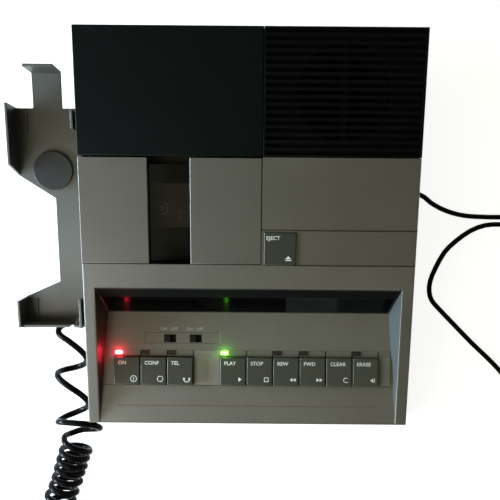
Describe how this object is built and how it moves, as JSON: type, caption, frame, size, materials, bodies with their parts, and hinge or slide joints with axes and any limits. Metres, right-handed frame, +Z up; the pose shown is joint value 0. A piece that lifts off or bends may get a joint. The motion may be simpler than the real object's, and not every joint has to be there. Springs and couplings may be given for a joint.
{
  "type": "dictation machine",
  "caption": "Wedge-shaped desktop dictation machine with a cassette door, speaker grille, sunk control well, side microphone cradle, curly microphone cord and power lead.",
  "frame": {"origin": "on the table top, under the plan centre of the case", "axes": "+Z up, +Y to the rear hood, +X to the right as the user sits at the keys"},
  "size_m": [0.3435, 0.329, 0.0659],
  "materials": {
    "grey": "fine satin texture",
    "black": "fine satin texture",
    "key_grey": "satin",
    "smoked_window": "smoked, polished",
    "steel": "bright plated",
    "board": "circuit board",
    "pale_plastic": "moulded",
    "lamp_red": "lit lens",
    "lamp_green": "lit lens",
    "lamp_dark": "unlit lens",
    "display": "polished dark window",
    "cone": "pressed paper",
    "brass": "turned",
    "rubber": "matte",
    "cord": "smooth jacket",
    "cassette": "moulded",
    "sheet_metal": "textured paint"
  },
  "bodies": {
    "case": {"base_pan": "grey", "top_case": "grey", "rear_hood": "black", "speaker_grille": "black", "hinge_pin": "steel", "key_board": "board", "key_domes": "pale_plastic", "led_power": "lamp_red", "led_play": "lamp_green", "leds_unlit": "lamp_dark", "display_window": "display", "display_module": "display", "switch_bodies": "steel", "speaker_basket": "steel", "speaker_cone": "cone", "main_board": "board", "deck_plate": "steel", "motor": "steel", "drive_belt": "rubber", "cassette_shell": "cassette", "feet": "rubber", "case_screws": "steel", "mic_cradle": "sheet_metal", "cradle_disc": "black", "cradle_screws": "steel", "wall_jacks": "black", "mic_plug": "cord", "mic_cord": "cord", "mic_back": "black", "mic_front": "grey", "power_plug": "cord", "power_lead": "cord", "power_coil": "cord", "coil_tie": "cord", "adapter_case": "black", "adapter_blades": "brass"},
    "door": {"cassette_door": "grey", "door_window": "smoked_window"},
    "eject_key": {"eject_key": "key_grey"},
    "key_power": {"key_power": "key_grey"},
    "key_conference": {"key_conference": "key_grey"},
    "key_phone": {"key_phone": "key_grey"},
    "key_play": {"key_play": "key_grey"},
    "key_stop": {"key_stop": "key_grey"},
    "key_rewind": {"key_rewind": "key_grey"},
    "key_forward": {"key_forward": "key_grey"},
    "key_clear": {"key_clear": "key_grey"},
    "key_erase": {"key_erase": "key_grey"},
    "left_switch": {"left_switch": "key_grey"},
    "right_switch": {"right_switch": "key_grey"},
    "flywheel": {"flywheel": "steel"},
    "motor_pulley": {"motor_pulley": "brass"},
    "take_up": {"take_up_spindle": "pale_plastic", "take_up_reel": "pale_plastic"},
    "supply": {"supply_spindle": "pale_plastic", "supply_reel": "pale_plastic"},
    "head_carriage": {"head_carriage": "steel", "tape_head": "steel"},
    "pinch_roller": {"pinch_roller": "rubber"},
    "mic_slide": {"mic_slide": "key_grey"}
  },
  "joints": [
    {"name": "door_hinge", "type": "hinge", "parent": "case", "child": "door", "pos_m": [-0.0434, 0.05003, 0.04541], "axis": [-1, 0, 0], "range_deg": [0, 50]},
    {"name": "eject_press", "type": "slide", "parent": "case", "child": "eject_key", "axis": [0, 0.2079, -0.9781], "range_m": [0, 0.0025], "stiffness_N_per_m": 400},
    {"name": "power_press", "type": "slide", "parent": "case", "child": "key_power", "axis": [0, 0, -1], "range_m": [0, 0.002], "stiffness_N_per_m": 500},
    {"name": "conference_press", "type": "slide", "parent": "case", "child": "key_conference", "axis": [0, 0, -1], "range_m": [0, 0.002], "stiffness_N_per_m": 500},
    {"name": "phone_press", "type": "slide", "parent": "case", "child": "key_phone", "axis": [0, 0, -1], "range_m": [0, 0.002], "stiffness_N_per_m": 500},
    {"name": "play_press", "type": "slide", "parent": "case", "child": "key_play", "axis": [0, 0, -1], "range_m": [0, 0.002], "stiffness_N_per_m": 500},
    {"name": "stop_press", "type": "slide", "parent": "case", "child": "key_stop", "axis": [0, 0, -1], "range_m": [0, 0.002], "stiffness_N_per_m": 500},
    {"name": "rewind_press", "type": "slide", "parent": "case", "child": "key_rewind", "axis": [0, 0, -1], "range_m": [0, 0.002], "stiffness_N_per_m": 500},
    {"name": "forward_press", "type": "slide", "parent": "case", "child": "key_forward", "axis": [0, 0, -1], "range_m": [0, 0.002], "stiffness_N_per_m": 500},
    {"name": "clear_press", "type": "slide", "parent": "case", "child": "key_clear", "axis": [0, 0, -1], "range_m": [0, 0.002], "stiffness_N_per_m": 500},
    {"name": "erase_press", "type": "slide", "parent": "case", "child": "key_erase", "axis": [0, 0, -1], "range_m": [0, 0.002], "stiffness_N_per_m": 500},
    {"name": "left_switch_slide", "type": "slide", "parent": "case", "child": "left_switch", "axis": [1, 0, 0], "range_m": [0, 0.003]},
    {"name": "right_switch_slide", "type": "slide", "parent": "case", "child": "right_switch", "axis": [1, 0, 0], "range_m": [0, 0.003]},
    {"name": "flywheel_spin", "type": "hinge", "parent": "case", "child": "flywheel", "pos_m": [-0.024, 0.01143, 0.01563], "axis": [0, -0.2079, 0.9781], "continuous": true},
    {"name": "motor_spin", "type": "hinge", "parent": "case", "child": "motor_pulley", "pos_m": [-0.07, 0.06371, 0.02675], "axis": [0, -0.2079, 0.9781], "continuous": true},
    {"name": "take_up_spin", "type": "hinge", "parent": "case", "child": "take_up", "pos_m": [-0.02945, 0.01775, 0.02628], "axis": [0, -0.2079, 0.9781], "continuous": true},
    {"name": "supply_spin", "type": "hinge", "parent": "case", "child": "supply", "pos_m": [-0.04895, 0.01775, 0.02628], "axis": [0, -0.2079, 0.9781], "continuous": true},
    {"name": "head_slide", "type": "slide", "parent": "case", "child": "head_carriage", "axis": [0, 0.9781, 0.2079], "range_m": [0, 0.0025], "stiffness_N_per_m": 200},
    {"name": "pinch_spin", "type": "hinge", "parent": "head_carriage", "child": "pinch_roller", "pos_m": [-0.024, 0.00121, 0.02788], "axis": [0, -0.2079, 0.9781], "continuous": true},
    {"name": "mic_switch_slide", "type": "slide", "parent": "case", "child": "mic_slide", "axis": [1, 0, 0], "range_m": [0, 0.012]}
  ],
  "couplings": [
    {"joint": "motor_spin", "follows": "flywheel_spin", "ratio": 6.3636},
    {"joint": "take_up_spin", "follows": "flywheel_spin", "ratio": 0.12857},
    {"joint": "supply_spin", "follows": "flywheel_spin", "ratio": 0.1}
  ]
}
